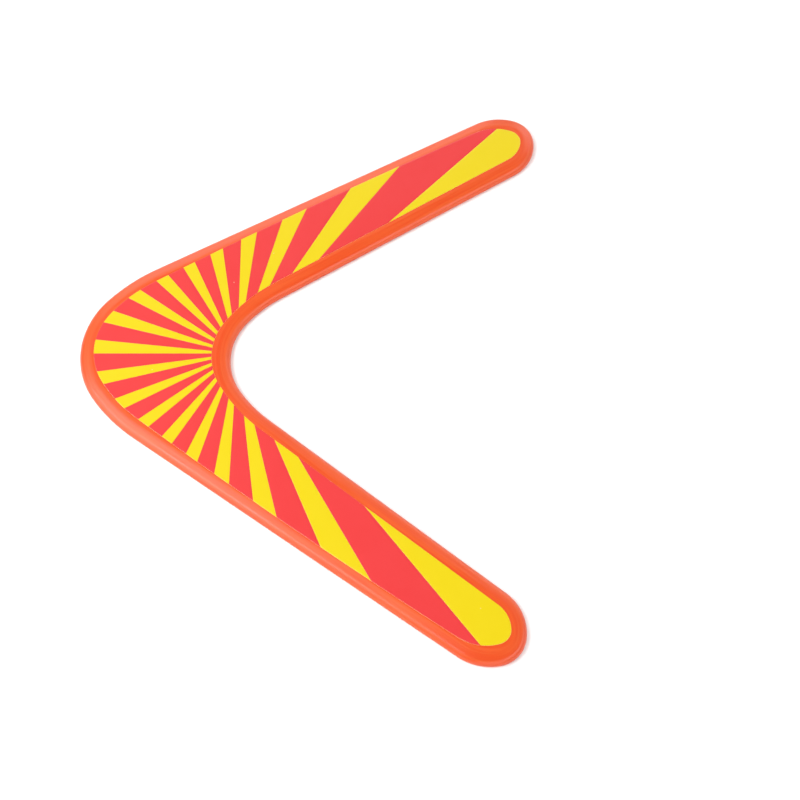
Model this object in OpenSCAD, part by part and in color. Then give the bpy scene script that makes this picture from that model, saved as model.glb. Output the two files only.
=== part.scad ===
// Two-armed throwing boomerang, cut from five-ply birch board, lacquered orange
// and screen-printed with a red and yellow sunburst on its upper face.
//
// Frame: X runs across the two arm tips, Y from the outer elbow towards the open
// side of the V, Z up. The board lies flat on Z = 0, and the origin is under the
// middle of its bounding box.

/* [Outline] */
// Length of the straight outer edge of an arm
outer_edge_l = 185; // [120:1:240]
// Angle between an arm's outer edge and the line of symmetry
outer_half_angle = 32.4; // [30:0.1:36]
// Angle between an arm's inner edge and the line of symmetry
inner_half_angle = 35.4; // [33:0.1:38]
// Radius at the middle of the outer elbow
outer_elbow_r = 43.5; // [36:0.5:50]
// Half turn of the outer elbow that is made at that radius
outer_elbow_turn = 38.5; // [20:0.5:45]
// Larger radius that eases the outer elbow into the arms
outer_ease_r = 88.5; // [60:0.5:120]
// Radius at the middle of the inner elbow
inner_elbow_r = 32; // [26:0.5:40]
// Half turn of the inner elbow that is made at that radius
inner_elbow_turn = 37; // [20:0.5:45]
// Larger radius that eases the inner elbow into the arms
inner_ease_r = 69.5; // [50:0.5:100]

/* [Tips] */
// Radius of the tip's corner on the outer edge
tip_outer_r = 25.5; // [20:0.5:30]
// Turn made at the outer corner
tip_outer_turn = 45; // [30:1:60]
// Radius at the end of the tip
tip_end_r = 14.8; // [12:0.1:18]
// Turn made at the end of the tip
tip_end_turn = 71; // [50:1:90]
// Radius of the tip's corner on the inner edge
tip_inner_r = 23; // [18:0.5:28]

/* [Board] */
// Thickness of each of the five veneers
ply_t = 0.92; // [0.8:0.02:1.4]
// Thickness of the glue line between two veneers
glue_t = 0.08; // [0.05:0.01:0.15]
// Thickness of the lacquer coat
lacquer_t = 0.14; // [0.08:0.01:0.25]

/* [Edge] */
// Width of the whole bevel on the upper side
bevel_w = 5.2; // [4:0.1:5.4]
// Slope of the bevel where it meets the flat top
bevel_angle = 12; // [6:1:20]
// Width of the rounded edge that the bevel runs down into
round_w = 2.6; // [2:0.1:3.5]
// Radius of the lower edge
lower_edge_r = 1.5; // [0.8:0.1:2]

/* [Print outline] */
// Distance from the board's outer elbow to the print
print_elbow_gap = 7.1; // [6.5:0.1:8]
// Length of the outer edge of the print on an arm
print_edge_l = 185.2; // [183:0.2:186]
// Turn that the outer edge of the print makes, which bows it out a little
print_edge_bow = 3.4; // [2.6:0.1:3.6]
// Angle between the outer edge of the print and the line of symmetry
print_outer_half_angle = 32.86; // [32.8:0.02:33]
// Angle between the inner edge of the print and the line of symmetry
print_inner_half_angle = 35.56; // [35.4:0.02:35.7]
// Radius at the middle of the print's outer elbow
print_outer_elbow_r = 33; // [31:0.5:34]
// Half turn of the print's outer elbow that is made at that radius
print_outer_elbow_turn = 34; // [32:0.5:36]
// Larger radius that eases the print's outer elbow into the arms
print_outer_ease_r = 72.8; // [70:0.2:75]
// Radius at the middle of the print's inner elbow
print_inner_elbow_r = 32.2; // [31:0.1:34]
// Half turn of the print's inner elbow that is made at that radius
print_inner_elbow_turn = 32.2; // [30:0.1:34]
// Larger radius that eases the print's inner elbow into the arms
print_inner_ease_r = 83.4; // [80:0.2:87]
// Radius of the print's tip on the outer edge
print_tip_outer_r = 22.6; // [21:0.1:24]
// Turn made at the outer corner of the print's tip
print_tip_outer_turn = 50; // [46:0.5:54]
// Radius at the end of the print's tip
print_tip_end_r = 7; // [6:0.1:8]
// Turn made at the end of the print's tip
print_tip_end_turn = 74.3; // [70:0.1:78]
// Radius of the print's tip on the inner edge
print_tip_inner_r = 14.8; // [14:0.1:16]

/* [Print] */
// Thickness of the pale underbase film
underbase_t = 0.05; // [0.04:0.01:0.1]
// Thickness of the coloured ink films
ink_t = 0.05; // [0.04:0.01:0.1]
// How far the underbase shows around the inks
underbase_rim = 0.2; // [0.1:0.05:0.5]
// Number of red rays
red_rays_n = 18; // [6:2:18]
// Angle that each red ray fans out over
red_ray_angle = 8.52; // [4:0.01:9]
// Angle from one red ray to the next
ray_pitch = 14.88; // [10:0.01:15]
// Distance from the outer elbow to the point where all the rays meet
ray_focus_y = 76.4; // [75:0.1:90]
// Distance of that point from the line of symmetry
ray_focus_x = 0.6; // [-1:0.1:1]

/* [Hidden] */

// Largest gap between a chord and its arc along the outline
chord_gap = 0.05;
// Largest step in degrees between two rings around the rounded edge
ring_step = 13;
// Length of the wedges that cut the rays out of the print, past the arm tips
ray_reach = 400;

board_t = 5 * ply_t + 4 * glue_t + 2 * lacquer_t;
print_z = board_t + underbase_t;

// The rounded edge is the part of an ellipse that runs from upright at the widest
// line to the bevel's slope.
round_h = board_t - lower_edge_r - (bevel_w - round_w) * tan(bevel_angle);
round_end = acos(tan(bevel_angle) / (round_h / round_w - tan(bevel_angle)));
round_rx = round_w / (1 - cos(round_end));
round_rz = round_h / sin(round_end);

// The outline's right half, as [radius, turn] arcs and [length, 0] lines, from the
// middle of the outer elbow round the tip to where the straight inner edge starts.
outer_half = [
    [outer_elbow_r, outer_elbow_turn],
    [outer_ease_r, 90 - outer_half_angle - outer_elbow_turn],
    [outer_edge_l, 0],
    [tip_outer_r, tip_outer_turn],
    [tip_end_r, tip_end_turn],
    [tip_inner_r, 180 + outer_half_angle - inner_half_angle - tip_outer_turn - tip_end_turn]
];
// The right half of the inner elbow, which turns the other way.
inner_half = [
    [inner_ease_r, inner_elbow_turn + inner_half_angle - 90],
    [inner_elbow_r, -inner_elbow_turn]
];
// The same for the print, whose outer edge on an arm is a long shallow arc.
print_outer_half = [
    [print_outer_elbow_r, print_outer_elbow_turn],
    [
        print_outer_ease_r,
        90 - print_outer_half_angle - print_edge_bow / 2 - print_outer_elbow_turn
    ],
    [print_edge_l / (print_edge_bow * PI / 180), print_edge_bow],
    [print_tip_outer_r, print_tip_outer_turn],
    [print_tip_end_r, print_tip_end_turn],
    [
        print_tip_inner_r,
        180 + print_outer_half_angle - print_inner_half_angle - print_edge_bow / 2
            - print_tip_outer_turn - print_tip_end_turn
    ]
];
print_inner_half = [
    [print_inner_ease_r, print_inner_elbow_turn + print_inner_half_angle - 90],
    [print_inner_elbow_r, -print_inner_elbow_turn]
];

function sum(list, from = 0) = from < len(list) ? list[from] + sum(list, from + 1) : 0;

// Step from the start to the end of one piece of outline that starts at a heading.
function span(piece, heading) =
    piece[1] == 0
        ? piece[0] * [cos(heading), sin(heading)]
        : sign(piece[1]) * piece[0] * [
            sin(heading + piece[1]) - sin(heading),
            cos(heading) - cos(heading + piece[1])
        ];

// Heading and place where piece number i of a path starts.
function heading_at(path, i, heading) =
    heading + (i > 0 ? sum([for (k = [0:i - 1]) path[k][1]]) : 0);
function place_at(path, i, start, heading) =
    i == 0
        ? start
        : place_at(path, i - 1, start, heading)
            + span(path[i - 1], heading_at(path, i - 1, heading));

// Number of chords that keep an arc within chord_gap.
function chords(piece) =
    piece[1] == 0 ? 1 : ceil(abs(piece[1]) / (2 * acos(1 - chord_gap / piece[0])));

// [x, y, heading] at the start of each chord of a path.
function walk(path, start, heading) = [
    for (i = [0:len(path) - 1])
        let (
            n = chords(path[i]),
            h = heading_at(path, i, heading),
            at = place_at(path, i, start, heading)
        )
        for (k = [0:n - 1])
            let (step = k == 0 ? [0, 0] : span([path[i][0], path[i][1] * k / n], h))
            [at.x + step.x, at.y + step.y, h + path[i][1] * k / n]
];

// Half an outline, with its straight inner edge as long as brings the inner elbow
// back to X = 0.
function joined(outer, inner, inner_heading) =
    let (
        tip_end = place_at(outer, len(outer), [0, 0], 0),
        bend = place_at(inner, len(inner), [0, 0], inner_heading)
    )
    concat(outer, [[-(tip_end.x + bend.x) / cos(inner_heading), 0]], inner);

// [x, y, heading] round a whole outline, from the middle of its outer elbow.
function mirrored(half, start_y) =
    let (
        right = walk(half, [0, start_y], 0),
        middle = place_at(half, len(half), [0, start_y], 0)
    )
    concat(right, [[middle.x, middle.y, 180]], [
        for (i = [len(right) - 1:-1:1])
            [-right[i].x, right[i].y, -right[i][2]]
    ]);

board_half = joined(outer_half, inner_half, 270 - inner_half_angle);
depth = max([for (p = walk(board_half, [0, 0], 0)) p.y]);
board_outline = mirrored(board_half, -depth / 2);
print_outline = mirrored(
    joined(print_outer_half, print_inner_half, 270 - print_inner_half_angle),
    print_elbow_gap - depth / 2
);

// An outline drawn in by a distance.
function drawn_in(outline, inset) = [
    for (p = outline)
        [p.x - inset * sin(p[2]), p.y + inset * cos(p[2])]
];

// Edge of the board. The angle is -90 on the flat underside, 0 on the widest line,
// round_end where the bevel starts and 90 on the flat top, and coat is the depth
// below the lacquer's surface. Gives [inset, z].
function edge(angle, coat) =
    angle < 0
        ? [
            lower_edge_r - (lower_edge_r - coat) * cos(angle),
            lower_edge_r + (lower_edge_r - coat) * sin(angle)
        ]
        : angle > round_end
            ? let (share = (angle - round_end) / (90 - round_end))
                (1 - share) * edge(round_end, coat) + share * [bevel_w, board_t - coat]
            : [
                round_rx - (round_rx - coat) * cos(angle),
                lower_edge_r + (round_rz - coat) * sin(angle)
            ];

// Edge angle at a height in the wood.
function wood_angle(z) =
    let (bevel_z = edge(round_end, lacquer_t)[1])
    z > bevel_z
        ? round_end
            + (90 - round_end) * min(1, (z - bevel_z) / (board_t - lacquer_t - bevel_z))
        : asin(max(-1, (z - lower_edge_r)
            / ((z < lower_edge_r ? lower_edge_r : round_rz) - lacquer_t)));

// Rings round the edge from one angle to another.
function rings(from, to, coat) =
    let (n = ceil(abs(to - from) / ring_step))
    [for (k = [0:n]) edge(from + (to - from) * k / n, coat)];

// Closed solid through a list of [inset, z] rings, with a flat cap on the first
// and the last.
module loft(levels) {
    n = len(board_outline);
    m = len(levels);
    sides = [
        for (j = [0:m - 2], i = [0:n - 1])
            let (a = j * n + i, b = j * n + (i + 1) % n)
            [a, a + n, b + n, b]
    ];
    first_cap = [for (i = [0:n - 1]) i];
    last_cap = [for (i = [n - 1:-1:0]) (m - 1) * n + i];
    polyhedron(
        points = [
            for (level = levels, p = drawn_in(board_outline, level[0]))
                [p.x, p.y, level[1]]
        ],
        faces = concat(sides, [first_cap, last_cap])
    );
}

// One layer of the board between two heights in the wood.
module board_layer(z_low, z_high) {
    loft(rings(wood_angle(z_low), wood_angle(z_high), lacquer_t));
}

// Height at which veneer number i starts, counted from the back.
function veneer_z(i) = lacquer_t + i * (ply_t + glue_t);

module veneer(i) {
    board_layer(veneer_z(i), veneer_z(i) + ply_t);
}

module glue_line(i) {
    board_layer(veneer_z(i) + ply_t, veneer_z(i + 1));
}

// Flat area of the print, widened by a rim.
module print_area(rim) {
    polygon(drawn_in(print_outline, -rim));
}

// The wedge of one ray, which fans out from the rays' meeting point. Angles count
// from the line of symmetry, and 0 points at the outer elbow.
module ray_wedge(from, to) {
    translate([ray_focus_x, ray_focus_y - depth / 2])
        polygon(concat([[0, 0]], [
            for (k = [0:3])
                let (a = from + (to - from) * k / 3)
                ray_reach * [sin(a), -cos(a)]
        ]));
}

// Start of red ray number i, and of the yellow one after it.
function red_start(i) = (i - red_rays_n / 2) * ray_pitch + (ray_pitch - red_ray_angle) / 2;

// Extruded film of the print that lies inside one ray.
module ray_film(from, to) {
    translate([0, 0, print_z])
        linear_extrude(height = ink_t)
            intersection() {
                print_area(0);
                ray_wedge(from, to);
            }
}

module back_lacquer() {
    color("#F25A22")
        loft(concat(rings(-90, 0, 0), rings(0, -90, lacquer_t)));
}

module back_veneer() {
    color("#E6C894")
        veneer(0);
}

module back_glue_line() {
    color("#7A4A26")
        glue_line(0);
}

module lower_crossband() {
    color("#C99A62")
        veneer(1);
}

module lower_glue_line() {
    color("#7A4A26")
        glue_line(1);
}

module core_veneer() {
    color("#E6C894")
        veneer(2);
}

module upper_glue_line() {
    color("#7A4A26")
        glue_line(2);
}

module upper_crossband() {
    color("#C99A62")
        veneer(3);
}

module face_glue_line() {
    color("#7A4A26")
        glue_line(3);
}

module face_veneer() {
    color("#E6C894")
        veneer(4);
}

module face_lacquer() {
    color("#FA5A28")
        loft(concat(rings(90, 0, lacquer_t), rings(0, 90, 0)));
}

module print_underbase() {
    color("#FFF3C8")
        translate([0, 0, board_t])
            linear_extrude(height = underbase_t)
                print_area(underbase_rim);
}

// The yellow rays lie between the red ones, and one more fills each arm tip.
module yellow_rays() {
    tip_angle = 180 - inner_half_angle;
    color("#FFE02A") {
        for (i = [0:red_rays_n - 2])
            ray_film(red_start(i) + red_ray_angle, red_start(i + 1));
        ray_film(-tip_angle, red_start(0));
        ray_film(red_start(red_rays_n - 1) + red_ray_angle, tip_angle);
    }
}

module red_rays() {
    color("#FF464C")
        for (i = [0:red_rays_n - 1])
            ray_film(red_start(i), red_start(i) + red_ray_angle);
}

back_lacquer();
back_veneer();
back_glue_line();
lower_crossband();
lower_glue_line();
core_veneer();
upper_glue_line();
upper_crossband();
face_glue_line();
face_veneer();
face_lacquer();
print_underbase();
yellow_rays();
red_rays();
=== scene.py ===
# A two-armed throwing boomerang of five-ply birch, sprayed with satin orange
# lacquer and screen-printed with a red and yellow sunburst on its upper face.
# Metres, X across the arm tips, Y towards the open side of the V, Z up.
import math

import bpy
import numpy as np
from mathutils import Matrix, Vector


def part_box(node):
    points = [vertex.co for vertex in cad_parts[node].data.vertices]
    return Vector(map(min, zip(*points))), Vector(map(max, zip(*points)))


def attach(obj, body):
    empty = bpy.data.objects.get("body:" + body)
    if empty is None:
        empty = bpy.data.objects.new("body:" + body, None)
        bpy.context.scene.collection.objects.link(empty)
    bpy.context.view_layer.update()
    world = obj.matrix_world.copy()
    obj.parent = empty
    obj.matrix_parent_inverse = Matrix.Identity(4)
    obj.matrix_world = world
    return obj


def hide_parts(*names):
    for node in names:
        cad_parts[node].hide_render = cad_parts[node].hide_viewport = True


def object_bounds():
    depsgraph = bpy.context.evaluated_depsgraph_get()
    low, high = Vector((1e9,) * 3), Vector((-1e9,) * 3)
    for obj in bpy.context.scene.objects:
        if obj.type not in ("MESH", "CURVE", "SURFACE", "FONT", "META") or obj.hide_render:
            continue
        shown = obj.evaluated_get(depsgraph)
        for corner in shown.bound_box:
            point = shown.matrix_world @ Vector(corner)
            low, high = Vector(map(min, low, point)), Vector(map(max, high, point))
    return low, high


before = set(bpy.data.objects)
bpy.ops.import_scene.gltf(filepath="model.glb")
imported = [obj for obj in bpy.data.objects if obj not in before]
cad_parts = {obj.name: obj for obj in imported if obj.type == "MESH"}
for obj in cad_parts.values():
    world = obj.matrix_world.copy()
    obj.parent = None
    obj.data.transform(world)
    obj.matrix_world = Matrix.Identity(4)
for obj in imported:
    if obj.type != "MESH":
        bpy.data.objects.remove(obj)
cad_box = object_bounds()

MM = 0.001

# ---------------------------------------------------------------- the board's sizes

# The right half of the board's outline, from the middle of the outer elbow: radius
# and turn in degrees of each arc, or length and 0 for a straight edge.
BOARD_OUTER = [(43.5, 38.5), (88.5, 19.1), (185.0, 0.0)]
BOARD_TIP = [(25.5, 45.0), (14.8, 71.0), (23.0, 61.0)]
BOARD_ELBOW = [(69.5, -17.6), (32.0, -37.0)]

# The same for the print, whose outer edge bows out along the arm.
PRINT_OUTER = [(33.0, 34.0), (72.8, 21.44), (3120.9, 3.4)]
PRINT_TIP = [(22.6, 50.0), (7.0, 74.3), (14.8, 51.3)]
PRINT_ELBOW = [(83.4, -22.24), (32.2, -32.2)]
PRINT_GAP = 7.1 * MM

# The spacing of the points along both outlines.
OUTLINE_STEP = 0.9 * MM

# The edge: a bevel that levels out over its last BLEND_W, and a rounding outside it.
BEVEL_W = 6.7 * MM
BEVEL_SLOPE = math.radians(12)
BLEND_W = 2.4 * MM
ROUND_W = 2.6 * MM
LACQUER_T = 0.14 * MM
PLY_PITCH = 1.0 * MM
PLY_T = 0.92 * MM

# Depth of the sander's marks, and how far from the flat top they fade out.
SANDING_DEPTH = 0.02 * MM
SANDING_FADE_W = 2 * MM

# The print: how far the underbase shows, the soft rim of the inks, and the rays.
UNDERBASE_RIM = 0.02 * MM
INK_RIM = 0.12 * MM
RED_RAYS_N = 18
RED_RAY_ANGLE = math.radians(8.52)
RAY_PITCH = math.radians(14.88)
RAY_STEPS_ACROSS = 22
RAY_STEPS_ALONG = 60

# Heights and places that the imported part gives.
face_low, face_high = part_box("face_lacquer")
WIDEST_Z = face_low.z
BOARD_T = face_high.z
ELBOW_Y = face_low.y
FOCUS = np.array([0.6 * MM, ELBOW_Y + 76.4 * MM])
underbase_low, underbase_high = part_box("print_underbase")
ink_low, ink_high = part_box("red_rays")


# ---------------------------------------------------------------- shapes

def walk(pieces, step):
    """Follows arcs and straight edges end to end from (0, 0), heading along +X.

    On an arc of radius r the heading h grows evenly with length, and the place is
    the arc's start + r * (sin h - sin h0, cos h0 - cos h). On a straight edge it is
    the start + length * (cos h, sin h). Gives the places and headings at even
    steps, the first and the last point included.
    """
    at, heading = np.zeros(2), 0.0
    places, headings = [at[None]], [np.zeros(1)]
    for size, turn in pieces:
        turn, size = math.radians(turn), size * MM
        length = abs(turn) * size if turn else size
        n = math.ceil(length / step)
        share = np.arange(1, n + 1)[:, None] / n
        h = heading + turn * share
        if turn:
            swing = np.hstack([np.sin(h) - math.sin(heading), math.cos(heading) - np.cos(h)])
            track = at + math.copysign(size, turn) * swing
        else:
            track = at + size * share * (math.cos(heading), math.sin(heading))
        places.append(track)
        headings.append(h[:, 0])
        at, heading = track[-1], h[-1, 0]
    return np.vstack(places), np.concatenate(headings)


def outline(outer, tip, elbow, start_y, step):
    """A whole outline, anticlockwise from (0, start_y) in the middle of its outer elbow.

    The right half is walked, with its straight inner edge as long as brings the
    inner elbow back to X = 0, and the left half is its mirror image. Gives the
    places, the outward direction (sin h, -cos h) at each, and the length run there.
    """
    bare, headings = walk(outer + tip + elbow, step)
    inner_heading = math.radians(sum(turn for _, turn in outer + tip))
    inner_edge = -bare[-1, 0] / math.cos(inner_heading) / MM
    places, headings = walk(outer + tip + [(inner_edge, 0.0)] + elbow, step)
    places = np.vstack([places, places[-2:0:-1] * (-1, 1)]) + (0, start_y)
    headings = np.concatenate([headings, -headings[-2:0:-1]])
    outward = np.column_stack([np.sin(headings), -np.cos(headings)])
    gaps = np.hypot(*(np.roll(places, -1, 0) - places).T)
    return places, outward, np.concatenate([[0.0], np.cumsum(gaps)[:-1]]), gaps.sum()


def face_drop(distance):
    """How far the face lies below its flat top at a distance from the board's edge.

    From BEVEL_W inwards it is flat. Over the next BLEND_W it falls as the parabola
    tan(slope) * d^2 / (2 BLEND_W), and from there on it falls at the slope.
    """
    down = np.clip(BEVEL_W - distance, 0, None)
    blended = np.minimum(down, BLEND_W)
    return math.tan(BEVEL_SLOPE) * (blended ** 2 / (2 * BLEND_W) + down - blended)


def upper_profile():
    """Inset and height of the skin from the widest line up to and along the flat top.

    An ellipse, a (1 - cos t) wide and b sin t high, turns from upright to the
    bevel's slope over ROUND_W, and face_drop gives the height of the rest. The last
    four points lie under the print.
    """
    slope = math.tan(BEVEL_SLOPE)
    rise = BOARD_T - face_drop(ROUND_W) - WIDEST_Z
    lean = slope / (rise / ROUND_W - slope)
    t = np.linspace(0, math.acos(lean), 26)
    a, b = ROUND_W / (1 - lean), rise / math.sqrt(1 - lean ** 2)
    blend = np.linspace(BEVEL_W - BLEND_W, BEVEL_W, 12)
    inset = np.concatenate([
        np.linspace(ROUND_W, blend[0], 9)[1:-1], blend, np.array([7.2, 8.0, 9.5, 11.0]) * MM,
    ])
    rounded = a * (1 - np.cos(t)), WIDEST_Z + b * np.sin(t)
    return (np.concatenate([rounded[0], inset]),
            np.concatenate([rounded[1], BOARD_T - face_drop(inset)]))


def lower_profile(angle, coat):
    """Inset and height of the lower edge, a quarter circle at a depth coat below the skin.

    The angle is -90 degrees on the flat underside and 0 on the widest line.
    """
    angle, radius = np.radians(angle), WIDEST_Z - coat
    return WIDEST_Z - radius * np.cos(angle), WIDEST_Z + radius * np.sin(angle)


def pushed_in(inset, height, depth):
    """A profile moved into the board along its normal by depth."""
    lift, run = np.gradient(height), np.gradient(inset)
    length = np.hypot(lift, run)
    out, up = (lift / length)[:, None], (run / length)[:, None]
    return inset[:, None] + depth * out, height[:, None] - depth * up


def run_along(inset, height):
    """Length of a profile from its first point to each of its points."""
    return np.concatenate([[0.0], np.cumsum(np.hypot(np.diff(inset), np.diff(height)))])


def ripple(along, around, across, longest, shortest, aspect, seed, waves=24):
    """Uneven, handmade waviness from -1 to 1 or so, which closes round the edge.

    The sum of the waves cos(2 pi (k * along / around + across / w) + phase) over the
    square root of their number. k is a whole number, so the pattern meets itself
    after one turn of the edge, and w is the wavelength across the bevel, which is
    roughly the wavelength along it / aspect.
    """
    rng = np.random.default_rng(seed)
    total = np.zeros(np.broadcast(along, across).shape)
    for wavelength in np.geomspace(longest, shortest, waves):
        k = max(1, round(around / wavelength))
        w = wavelength / aspect / rng.uniform(0.6, 1.6) * rng.choice((-1, 1))
        total += np.cos(2 * np.pi * (k * along / around + across / w) + rng.uniform(0, 6.3))
    return total / math.sqrt(waves)


def put_mesh(name, points, faces, smooth=True):
    """A new object at the origin from an array of points and a list of faces."""
    mesh = bpy.data.meshes.new(name)
    mesh.from_pydata(points.tolist(), [], faces)
    mesh.polygons.foreach_set("use_smooth", np.full(len(mesh.polygons), smooth))
    mesh.update()
    made = bpy.data.objects.new(name, mesh)
    bpy.context.scene.collection.objects.link(made)
    return made


def drawn_in(edge, inset):
    """Rings of the outline drawn in by inset[j], as an array (ring, point, xy)."""
    places, outward = edge[:2]
    inset = np.broadcast_to(inset.reshape(len(inset), -1), (len(inset), len(places)))
    return places - inset[..., None] * outward


def loft(name, rings, height):
    """A closed solid through rings of places, with a flat cap at either end.

    Ring j is lifted to height[j], which may also change round the edge.
    """
    m, n = rings.shape[:2]
    height = np.broadcast_to(height.reshape(m, -1), (m, n))
    points = np.concatenate([rings, height[..., None]], 2).reshape(-1, 3)
    j, i = np.mgrid[0:m - 1, 0:n]
    a, b = j * n + i, j * n + (i + 1) % n
    sides = np.stack([a, b, b + n, a + n], -1).reshape(-1, 4).tolist()
    first_cap = list(range(n - 1, -1, -1))
    last_cap = list(range((m - 1) * n, m * n))
    return put_mesh(name, points, sides + [first_cap, last_cap])


def mark_edge(piece, edge, inset, height):
    """Stores where each point lies along and across the edge, as (x, y, across).

    x and y go once round a circle as long as the outline, so a pattern on them has
    no seam, and across is the length of the profile from the widest line.
    """
    along, around = edge[2:]
    turn = 2 * np.pi * along / around
    across = run_along(inset, height)
    m, n = len(inset), len(along)
    spot = np.empty((m, n, 3))
    spot[..., 0] = around / (2 * np.pi) * np.cos(turn)
    spot[..., 1] = around / (2 * np.pi) * np.sin(turn)
    spot[..., 2] = across[:, None]
    mark = piece.data.attributes.new("along_edge", "FLOAT_VECTOR", "POINT")
    mark.data.foreach_set("vector", spot.ravel())


def sanded(edge, inset, height):
    """The edge's profile as it comes from the sander, pushed in along its normal.

    The hard glue lines stay proud and the veneers between them sink, as
    (1 - cos(2 pi z / pitch)) / 2 with z from the middle of a glue line, where the
    edge is steep, and long shallow ripples follow the edge. Both fade out over
    SANDING_FADE_W before the flat top.
    """
    along, around = edge[2:]
    lift, run = np.gradient(height), np.gradient(inset)
    steep = np.clip(lift / np.hypot(lift, run), 0, 1)[:, None]
    z = height[:, None] - LACQUER_T + (PLY_PITCH - PLY_T) / 2
    hollow = (1 - np.cos(2 * np.pi * z / PLY_PITCH)) / 2
    across = run_along(inset, height)[:, None]
    wave = ripple(along[None], around, across,
                  longest=90 * MM, shortest=9 * MM, aspect=14, seed=3)
    depth = hollow * steep * (1 + 0.5 * wave) + 0.35 * (1 + wave / 2).clip(0)
    fade = np.clip((BEVEL_W - inset) / SANDING_FADE_W, 0, 1)[:, None]
    return pushed_in(inset, height, SANDING_DEPTH * fade * depth)


def sunk(spots):
    """How far the face lies below its flat top at (x, y) spots on the board.

    The distance to the board's edge is measured square to the edge's nearest point.
    """
    places, outward = board[:2]
    flat = spots.reshape(-1, 2)
    gap = (flat ** 2).sum(1)[:, None] + (places ** 2).sum(1) - 2 * flat @ places.T
    nearest = gap.argmin(1)
    distance = ((places[nearest] - flat) * outward[nearest]).sum(1)
    return face_drop(distance).reshape(spots.shape[:-1])


def polar_border(edge):
    """The print's inner and outer border in polar form round the rays' meeting point.

    Bearings count from the direction of the outer elbow and grow from the one
    tip's furthest bearing to the other's on both borders. Gives (bearings,
    distances) for either border.
    """
    spoke = edge[0] - FOCUS
    bearing = np.arctan2(spoke[:, 0], -spoke[:, 1])
    length = np.hypot(*spoke.T)
    right, left, n = int(bearing.argmax()), int(bearing.argmin()), len(bearing)
    inner = np.arange(left, right - 1, -1)
    outer = np.arange(left, right + n + 1) % n
    return (bearing[inner], length[inner]), (bearing[outer], length[outer])


def film_steps(n, rim):
    """Shares of the way across a film and the extra distances that crowd its rims."""
    lip = rim * np.array([0.0, 0.25, 0.6, 1.0])
    share = np.concatenate([np.zeros(4), np.linspace(0, 1, n)[1:-1], np.ones(4)])
    extra = np.concatenate([lip, lip[3] * np.linspace(1, -1, n)[1:-1], -lip[::-1]])
    return share, extra


def ray_film(start, end, border, base, top, rim=INK_RIM):
    """Points, side faces and rim of one printed ray, a thin film with soft rims.

    Its grid is (angle, distance) round the rays' meeting point: the distance runs
    from the inner to the outer border of the print. The height rises from base to
    top as a quarter sine over rim and follows the bevel down, and a face below
    closes the film. A ray that ends past the border's furthest bearing closes to
    a point there.
    """
    inner, outer = border
    low, high = inner[0][0], inner[0][-1]
    across, across_extra = film_steps(RAY_STEPS_ACROSS, rim)
    along, along_extra = film_steps(RAY_STEPS_ALONG, rim)
    if end > high:
        end, across, across_extra = high, 1 - (1 - across) ** 2, across_extra * (across < 0.5)
    if start < low:
        start, across, across_extra = low, across ** 2, across_extra * (across > 0.5)
    angle = (start + (end - start) * across)[:, None] + 0 * along
    # The rims are lengths, so the angles and distances settle in a few rounds.
    for _ in range(3):
        near, far = np.interp(angle, *inner), np.interp(angle, *outer)
        distance = near + (far - near) * along + along_extra * (far - near > 3 * rim)
        angle = (start + (end - start) * across)[:, None] + across_extra[:, None] / distance
        angle = np.clip(angle, start, end)
    depth = np.minimum(distance - near, far - distance)
    from_start = np.where(start > low, angle - start, np.inf)
    from_end = np.where(end < high, end - angle, np.inf)
    side = np.minimum(from_start, from_end) * distance
    rise = np.sin(np.pi / 2 * np.clip(np.minimum(depth, side) / rim, 0, 1))
    spots = FOCUS + distance[..., None] * np.stack([np.sin(angle), -np.cos(angle)], -1)
    height = base + (top - base) * rise - sunk(spots)
    points = np.concatenate([spots, height[..., None]], -1)
    m, n = distance.shape
    j, i = np.mgrid[0:m - 1, 0:n - 1]
    a = j * n + i
    quads = np.stack([a, a + 1, a + n + 1, a + n], -1).reshape(-1, 4)
    ring = np.concatenate([
        np.arange(n), np.arange(2 * n - 1, m * n, n),
        np.arange(m * n - 2, (m - 1) * n - 1, -1), np.arange((m - 2) * n, 0, -n),
    ])
    return points.reshape(-1, 3), quads, ring


def rays(name, spans, border, base, top):
    """One piece made of the separate films that fill each (start, end) of spans."""
    points, faces, count = [], [], 0
    for start, end in spans:
        p, quads, ring = ray_film(start, end, border, base, top)
        points.append(p)
        faces += (quads + count).tolist() + [(ring[::-1] + count).tolist()]
        count += len(p)
    return put_mesh(name, np.vstack(points), faces)


# ---------------------------------------------------------------- materials

def linear(hex_code):
    """An sRGB hex colour as the linear RGBA that shader sockets take."""
    share = np.array([int(hex_code[k:k + 2], 16) for k in (1, 3, 5)]) / 255
    low = share / 12.92
    high = ((share + 0.055) / 1.055) ** 2.4
    return (*np.where(share <= 0.04045, low, high).tolist(), 1.0)


def material(name):
    """An empty node material and its tree."""
    made = bpy.data.materials.new(name)
    made.use_nodes = True
    made.node_tree.nodes.clear()
    return made, made.node_tree


def add(tree, kind, inputs=None, **settings):
    """Adds a node. An input's value is a number, a colour or a socket to link from."""
    made = tree.nodes.new(kind)
    for key, value in settings.items():
        setattr(made, key, value)
    for key, value in (inputs or {}).items():
        if isinstance(value, bpy.types.NodeSocket):
            tree.links.new(value, made.inputs[key])
        else:
            made.inputs[key].default_value = value
    return made


def wear(piece, finish):
    """Puts a finish on a piece, in place of whatever it wore."""
    piece.data.materials.clear()
    piece.data.materials.append(finish)


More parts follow.
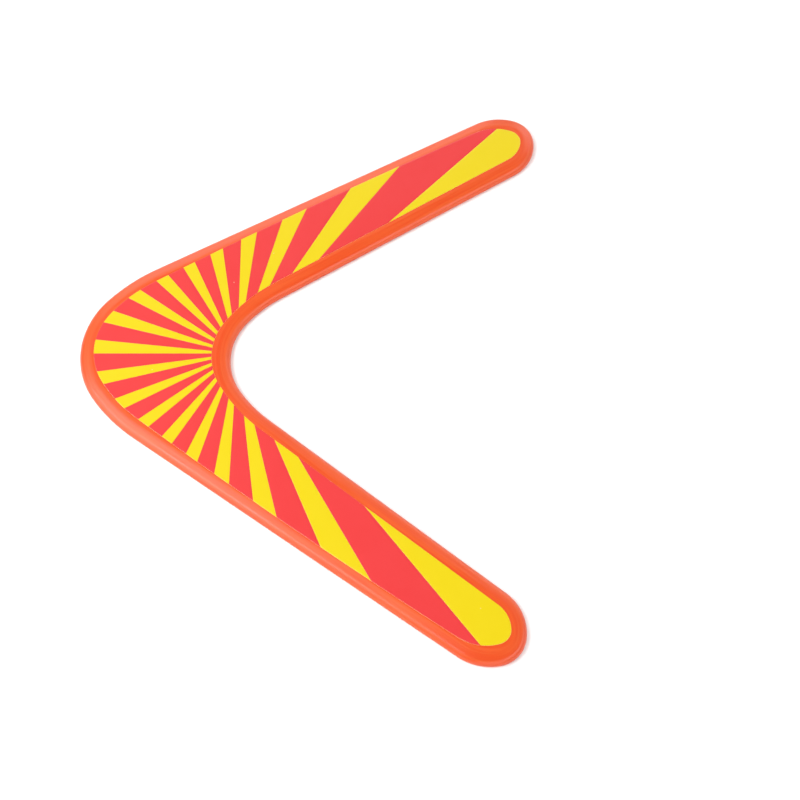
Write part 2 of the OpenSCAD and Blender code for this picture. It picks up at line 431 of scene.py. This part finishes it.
def satin_orange_lacquer():
    """Sprayed pigmented polyurethane lacquer on sanded plywood, IOR 1.5.

    Satin, roughness 0.29 to 0.39. Gives the eye a saturated orange whose broad soft
    sheen is broken by faint streaks along the edge, where the sanding marks of the
    plies show through.
    """
    made, tree = material("satin_orange_lacquer")
    spot = add(tree, "ShaderNodeAttribute", attribute_name="along_edge")
    # Sanding marks 1.1 mm apart across the bevel and 45 mm long.
    drawn_out = add(tree, "ShaderNodeMapping", {
        "Vector": spot.outputs["Vector"], "Scale": (1 / 0.045, 1 / 0.045, 1 / 0.0011),
    })
    streaks = add(tree, "ShaderNodeTexNoise", {
        "Vector": drawn_out.outputs["Vector"], "Scale": 1.0, "Detail": 3.0, "Roughness": 0.55,
    })
    place = add(tree, "ShaderNodeTexCoord")
    # Orange peel of the spray, bumps 1.6 mm apart.
    peel = add(tree, "ShaderNodeTexNoise", {
        "Vector": place.outputs["Object"], "Scale": 1 / 0.0016, "Detail": 1.5,
    })
    marks = add(tree, "ShaderNodeMapRange", {
        "Value": streaks.outputs["Fac"], "From Min": 0.38, "From Max": 0.62,
    })
    paint = add(tree, "ShaderNodeMix", {
        0: marks.outputs["Result"], 6: linear("#CF4515"), 7: linear("#D25019"),
    }, data_type="RGBA")
    gloss = add(tree, "ShaderNodeMapRange", {
        "Value": marks.outputs["Result"], "To Min": 0.29, "To Max": 0.39,
    })
    peel_bump = add(tree, "ShaderNodeBump", {
        "Height": peel.outputs["Fac"], "Strength": 0.5, "Distance": 0.01 * MM,
    })
    bump = add(tree, "ShaderNodeBump", {
        "Height": streaks.outputs["Fac"], "Strength": 0.7, "Distance": 0.05 * MM,
        "Normal": peel_bump.outputs["Normal"],
    })
    skin = add(tree, "ShaderNodeBsdfPrincipled", {
        "Base Color": paint.outputs[2], "Roughness": gloss.outputs["Result"],
        "IOR": 1.5, "Normal": bump.outputs["Normal"],
    })
    add(tree, "ShaderNodeOutputMaterial", {"Surface": skin.outputs[0]})
    return made


def screen_ink(name, thick, thin, roughness):
    """Solvent screen-printing ink laid through a woven mesh, IOR 1.48.

    Satin, its roughness within 0.04 of the one given. Gives the eye an even,
    flat-lying colour with a barely uneven lay-down and a soft sheen that is finer
    than the lacquer's round it.
    """
    made, tree = material(name)
    place = add(tree, "ShaderNodeTexCoord")
    # The squeegee's lay-down, which varies over 12 mm.
    lay = add(tree, "ShaderNodeTexNoise", {
        "Vector": place.outputs["Object"], "Scale": 1 / 0.012, "Detail": 4.0, "Roughness": 0.6,
    })
    colour = add(tree, "ShaderNodeMix", {
        0: lay.outputs["Fac"], 6: linear(thick), 7: linear(thin),
    }, data_type="RGBA")
    # Pinholes 0.4 mm wide where the mesh was blocked, in one of four 18 mm cells.
    cells = add(tree, "ShaderNodeTexVoronoi", {
        "Vector": place.outputs["Object"], "Scale": 1 / 0.018,
    }, voronoi_dimensions="2D")
    hole = add(tree, "ShaderNodeMapRange", {
        "Value": cells.outputs["Distance"], "From Min": 0.013, "From Max": 0.008,
    })
    chosen = add(tree, "ShaderNodeMath", {0: cells.outputs["Color"], 1: 0.75},
                 operation="GREATER_THAN")
    open_mesh = add(tree, "ShaderNodeMath", {0: hole.outputs["Result"], 1: chosen.outputs[0]},
                    operation="MULTIPLY")
    colour = add(tree, "ShaderNodeMix", {
        0: open_mesh.outputs[0], 6: colour.outputs[2], 7: linear("#F0C8A8"),
    }, data_type="RGBA")
    # Mesh print, 0.5 mm apart: the real 0.15 mm weave is too fine to show.
    weave = add(tree, "ShaderNodeTexNoise", {
        "Vector": place.outputs["Object"], "Scale": 1 / 0.0005, "Detail": 1.0,
    })
    bump = add(tree, "ShaderNodeBump", {
        "Height": weave.outputs["Fac"], "Strength": 0.35, "Distance": 0.006 * MM,
    })
    gloss = add(tree, "ShaderNodeMapRange", {
        "Value": lay.outputs["Fac"], "To Min": roughness - 0.04, "To Max": roughness + 0.04,
    })
    skin = add(tree, "ShaderNodeBsdfPrincipled", {
        "Base Color": colour.outputs[2], "Roughness": gloss.outputs["Result"],
        "IOR": 1.48, "Normal": bump.outputs["Normal"],
    })
    add(tree, "ShaderNodeOutputMaterial", {"Surface": skin.outputs[0]})
    return made


def rotary_birch(name, grain_scale, early, late):
    """Rotary-cut birch veneer, IOR 1.5, dry and matt, roughness 0.7.

    Gives the eye pale cream wood with long soft growth figure, fine darker pores
    along the grain and no shine.
    """
    made, tree = material(name)
    place = add(tree, "ShaderNodeTexCoord")
    along = add(tree, "ShaderNodeMapping", {
        "Vector": place.outputs["Object"], "Scale": grain_scale,
    })
    figure = add(tree, "ShaderNodeTexNoise", {
        "Vector": along.outputs["Vector"], "Scale": 8.0, "Detail": 5.0, "Distortion": 0.6,
    })
    pores = add(tree, "ShaderNodeTexNoise", {
        "Vector": along.outputs["Vector"], "Scale": 90.0, "Detail": 2.0,
    })
    wood = add(tree, "ShaderNodeMix", {
        0: figure.outputs["Fac"], 6: linear(early), 7: linear(late),
    }, data_type="RGBA")
    dots = add(tree, "ShaderNodeMapRange", {
        "Value": pores.outputs["Fac"], "From Min": 0.62, "From Max": 0.75, "To Max": 0.45,
    })
    colour = add(tree, "ShaderNodeMix", {
        0: dots.outputs["Result"], 6: wood.outputs[2], 7: linear("#A87B48"),
    }, data_type="RGBA")
    bump = add(tree, "ShaderNodeBump", {
        "Height": pores.outputs["Fac"], "Strength": 0.4, "Distance": 0.02 * MM,
    })
    skin = add(tree, "ShaderNodeBsdfPrincipled", {
        "Base Color": colour.outputs[2], "Roughness": 0.7, "IOR": 1.5,
        "Normal": bump.outputs["Normal"],
    })
    add(tree, "ShaderNodeOutputMaterial", {"Surface": skin.outputs[0]})
    return made


def cured_glue():
    """Urea-formaldehyde glue film, pressed between veneers, IOR 1.45, roughness 0.5.

    Gives the eye a thin brown line with a faint resinous shine and lighter
    patches where the wood has drunk it in.
    """
    made, tree = material("cured_glue")
    place = add(tree, "ShaderNodeTexCoord")
    patches = add(tree, "ShaderNodeTexNoise", {
        "Vector": place.outputs["Object"], "Scale": 1 / 0.004, "Detail": 3.0,
    })
    colour = add(tree, "ShaderNodeMix", {
        0: patches.outputs["Fac"], 6: linear("#5E3A1C"), 7: linear("#94683C"),
    }, data_type="RGBA")
    skin = add(tree, "ShaderNodeBsdfPrincipled", {
        "Base Color": colour.outputs[2], "Roughness": 0.5, "IOR": 1.45,
    })
    add(tree, "ShaderNodeOutputMaterial", {"Surface": skin.outputs[0]})
    return made


# ---------------------------------------------------------------- pieces

board = outline(BOARD_OUTER, BOARD_TIP, BOARD_ELBOW, ELBOW_Y, OUTLINE_STEP)
printed = outline(PRINT_OUTER, PRINT_TIP, PRINT_ELBOW, ELBOW_Y + PRINT_GAP, OUTLINE_STEP)

# Orange coat of the bevel and the upper face: its hidden inner skin going down to
# the widest line at every fourth point, then its outer skin going up the bevel and
# over the flat rim.
skin_in, skin_z = upper_profile()
hidden_in, hidden_z = skin_in[::-4], skin_z[::-4]
inner_in, inner_z = pushed_in(hidden_in, hidden_z, np.full(len(board[0]), -LACQUER_T))
outer_in, outer_z = sanded(board, skin_in, skin_z)
face_coat = loft("orange_face_coat",
                 drawn_in(board, np.concatenate([inner_in, outer_in])),
                 np.concatenate([inner_z, outer_z]))
mark_edge(face_coat, board, np.concatenate([hidden_in, skin_in]),
          np.concatenate([hidden_z, skin_z]))
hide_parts("face_lacquer")

# Orange coat of the underside and the lower edge.
low_in, low_z = lower_profile(np.linspace(-90, 0, 17), 0.0)
back_in, back_z = lower_profile(np.linspace(0, -90, 7), LACQUER_T)
low_in = np.concatenate([[6 * MM, 3 * MM], low_in, back_in])
low_z = np.concatenate([[0.0, 0.0], low_z, back_z])
back_coat = loft("orange_back_coat", drawn_in(board, low_in), low_z)
mark_edge(back_coat, board, low_in, low_z)
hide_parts("back_lacquer")

# Pale film under the colours, a little wider than they are.
film_in = np.array([0.0, 0.02, 0.06, 0.12, 0.6, 1.2, 1.8, 2.4, 3.0]) * MM - UNDERBASE_RIM
film_rise = (underbase_high.z - underbase_low.z) * np.array([0, 0.6, 0.9, 1, 1, 1, 1, 1, 1])
film_rings = drawn_in(printed, film_in)
underbase = loft("pale_underbase_film", film_rings,
                 underbase_low.z + film_rise[:, None] - sunk(film_rings))
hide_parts("print_underbase")

# The two colours of the sunburst. The yellow fills what the red leaves.
from_middle = np.arange(RED_RAYS_N) - RED_RAYS_N / 2
red_start = from_middle * RAY_PITCH + (RAY_PITCH - RED_RAY_ANGLE) / 2
red_spans = [(a, a + RED_RAY_ANGLE) for a in red_start]
yellow_spans = [(-math.pi, red_start[0])]
yellow_spans += [(a + RED_RAY_ANGLE, b) for a, b in zip(red_start[:-1], red_start[1:])]
yellow_spans += [(red_start[-1] + RED_RAY_ANGLE, math.pi)]
border = polar_border(printed)
red_ink = rays("red_ink_rays", red_spans, border, ink_low.z, ink_high.z)
yellow_ink = rays("yellow_ink_rays", yellow_spans, border, ink_low.z, ink_high.z)
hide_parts("red_rays")
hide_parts("yellow_rays")

lacquer = satin_orange_lacquer()
wear(face_coat, lacquer)
wear(back_coat, lacquer)
wear(underbase, screen_ink("pale_underbase_ink", "#FFF0B0", "#FFE9A0", 0.45))
wear(red_ink, screen_ink("red_screen_ink", "#CE3333", "#D03638", 0.33))
wear(yellow_ink, screen_ink("yellow_screen_ink", "#CFB800", "#D1BB06", 0.33))
for piece in (face_coat, back_coat, underbase, red_ink, yellow_ink):
    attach(piece, "root")

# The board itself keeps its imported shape. Grain runs along Y in the long plies and
# along X in the cross plies, 25 times coarser along it than across.
long_grain = rotary_birch("birch_grain_along_y", (25, 1, 25), "#EBD3A4", "#D9B67E")
cross_grain = rotary_birch("birch_grain_along_x", (1, 25, 25), "#D8B27A", "#BE9058")
glue = cured_glue()
for name in ("back_veneer", "core_veneer", "face_veneer"):
    wear(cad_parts[name], long_grain)
for name in ("lower_crossband", "upper_crossband"):
    wear(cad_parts[name], cross_grain)
for name in ("back_glue_line", "lower_glue_line", "upper_glue_line", "face_glue_line"):
    wear(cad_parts[name], glue)


# ---------------------------------------------------------------- stage

def white_paper():
    """Uncoated white backdrop paper, matt, roughness 0.9.

    Gives the eye an even white with barely visible fibres.
    """
    made, tree = material("white_paper")
    place = add(tree, "ShaderNodeTexCoord")
    # Clumps of fibre 3 mm apart.
    fibres = add(tree, "ShaderNodeTexNoise", {
        "Vector": place.outputs["Object"], "Scale": 1 / 0.003, "Detail": 2.0,
    })
    tone = add(tree, "ShaderNodeMix", {
        0: fibres.outputs["Fac"], 6: linear("#F6F6F6"), 7: linear("#F8F8F8"),
    }, data_type="RGBA")
    skin = add(tree, "ShaderNodeBsdfPrincipled", {
        "Base Color": tone.outputs[2], "Roughness": 0.9, "Specular IOR Level": 0.2,
    })
    add(tree, "ShaderNodeOutputMaterial", {"Surface": skin.outputs[0]})
    return made


def studio_walls():
    """White studio walls, bright near the floor and dimmer overhead."""
    made = bpy.data.worlds.new("studio_walls")
    made.use_nodes = True
    tree = made.node_tree
    tree.nodes.clear()
    place = add(tree, "ShaderNodeTexCoord")
    way = add(tree, "ShaderNodeSeparateXYZ", {"Vector": place.outputs["Generated"]})
    glow = add(tree, "ShaderNodeMapRange", {
        "Value": way.outputs["Z"], "From Min": 0.0, "From Max": 0.5,
        "To Min": 0.9, "To Max": 0.2,
    }, interpolation_type="SMOOTHSTEP")
    walls = add(tree, "ShaderNodeBackground", {
        "Color": (1, 1, 1, 1), "Strength": glow.outputs["Result"],
    })
    add(tree, "ShaderNodeOutputWorld", {"Surface": walls.outputs[0]})
    return made


def softbox(name, place, width, height, power):
    """A rectangular soft light at a place, turned towards the origin."""
    lamp = bpy.data.lights.new(name, "AREA")
    lamp.shape = "RECTANGLE"
    lamp.size, lamp.size_y, lamp.energy = width, height, power
    made = bpy.data.objects.new(name, lamp)
    made.location = place
    made.rotation_euler = (-Vector(place)).to_track_quat("-Z", "Y").to_euler()
    bpy.context.scene.collection.objects.link(made)


FLOOR_REACH = 9
FLOOR_GAP = 0.02 * MM
floor_points = np.array([(-1, -1, 0), (1, -1, 0), (1, 1, 0), (-1, 1, 0)], float) * FLOOR_REACH
floor_points[:, 2] = cad_box[0].z - FLOOR_GAP
floor = put_mesh("floor", floor_points, [[0, 1, 2, 3]], smooth=False)
wear(floor, white_paper())
bpy.context.scene.world = studio_walls()

# Name, place, width and height in metres, and power in watts.
softbox("left_softbox", (0.12, -0.78, 1.28), 1.0, 0.75, 11.5)
softbox("left_panel", (0.25, -0.55, 0.4), 0.7, 0.7, 4.6)
softbox("back_left_softbox", (-1.2, -0.4, 0.75), 0.9, 0.7, 5.4)
softbox("back_right_softbox", (-1.1, 0.7, 0.75), 0.9, 0.7, 5.4)
softbox("right_softbox", (0.0, 1.2, 0.8), 0.9, 0.7, 4.4)
softbox("front_right_softbox", (0.75, 0.9, 0.9), 0.9, 0.7, 6.3)
softbox("front_softbox", (1.35, 0.3, 0.5), 0.8, 0.6, 3)

# ---------------------------------------------------------------- camera

AIM = Vector((21.59, 46.95, 5.3)) * MM
DISTANCE = 0.75
LENS, SENSOR_W = 70.946, 36
ELEVATION, AZIMUTH, ROLL = (math.radians(a) for a in (62.271, 1.768, -1.262))
right = Vector((-math.sin(AZIMUTH), math.cos(AZIMUTH), 0))
back = Vector((math.cos(AZIMUTH) * math.cos(ELEVATION),
               math.sin(AZIMUTH) * math.cos(ELEVATION), math.sin(ELEVATION)))
up = back.cross(right)
turned_right = right * math.cos(ROLL) - up * math.sin(ROLL)
turned_up = right * math.sin(ROLL) + up * math.cos(ROLL)
camera = bpy.data.objects.new("camera", bpy.data.cameras.new("camera"))
camera.data.lens = LENS
camera.data.sensor_width = SENSOR_W
stand = Matrix((turned_right, turned_up, back)).transposed().to_4x4()
camera.matrix_world = Matrix.Translation(AIM + back * DISTANCE) @ stand
bpy.context.scene.collection.objects.link(camera)
bpy.context.scene.camera = camera
bpy.context.scene.view_settings.view_transform = "Standard"
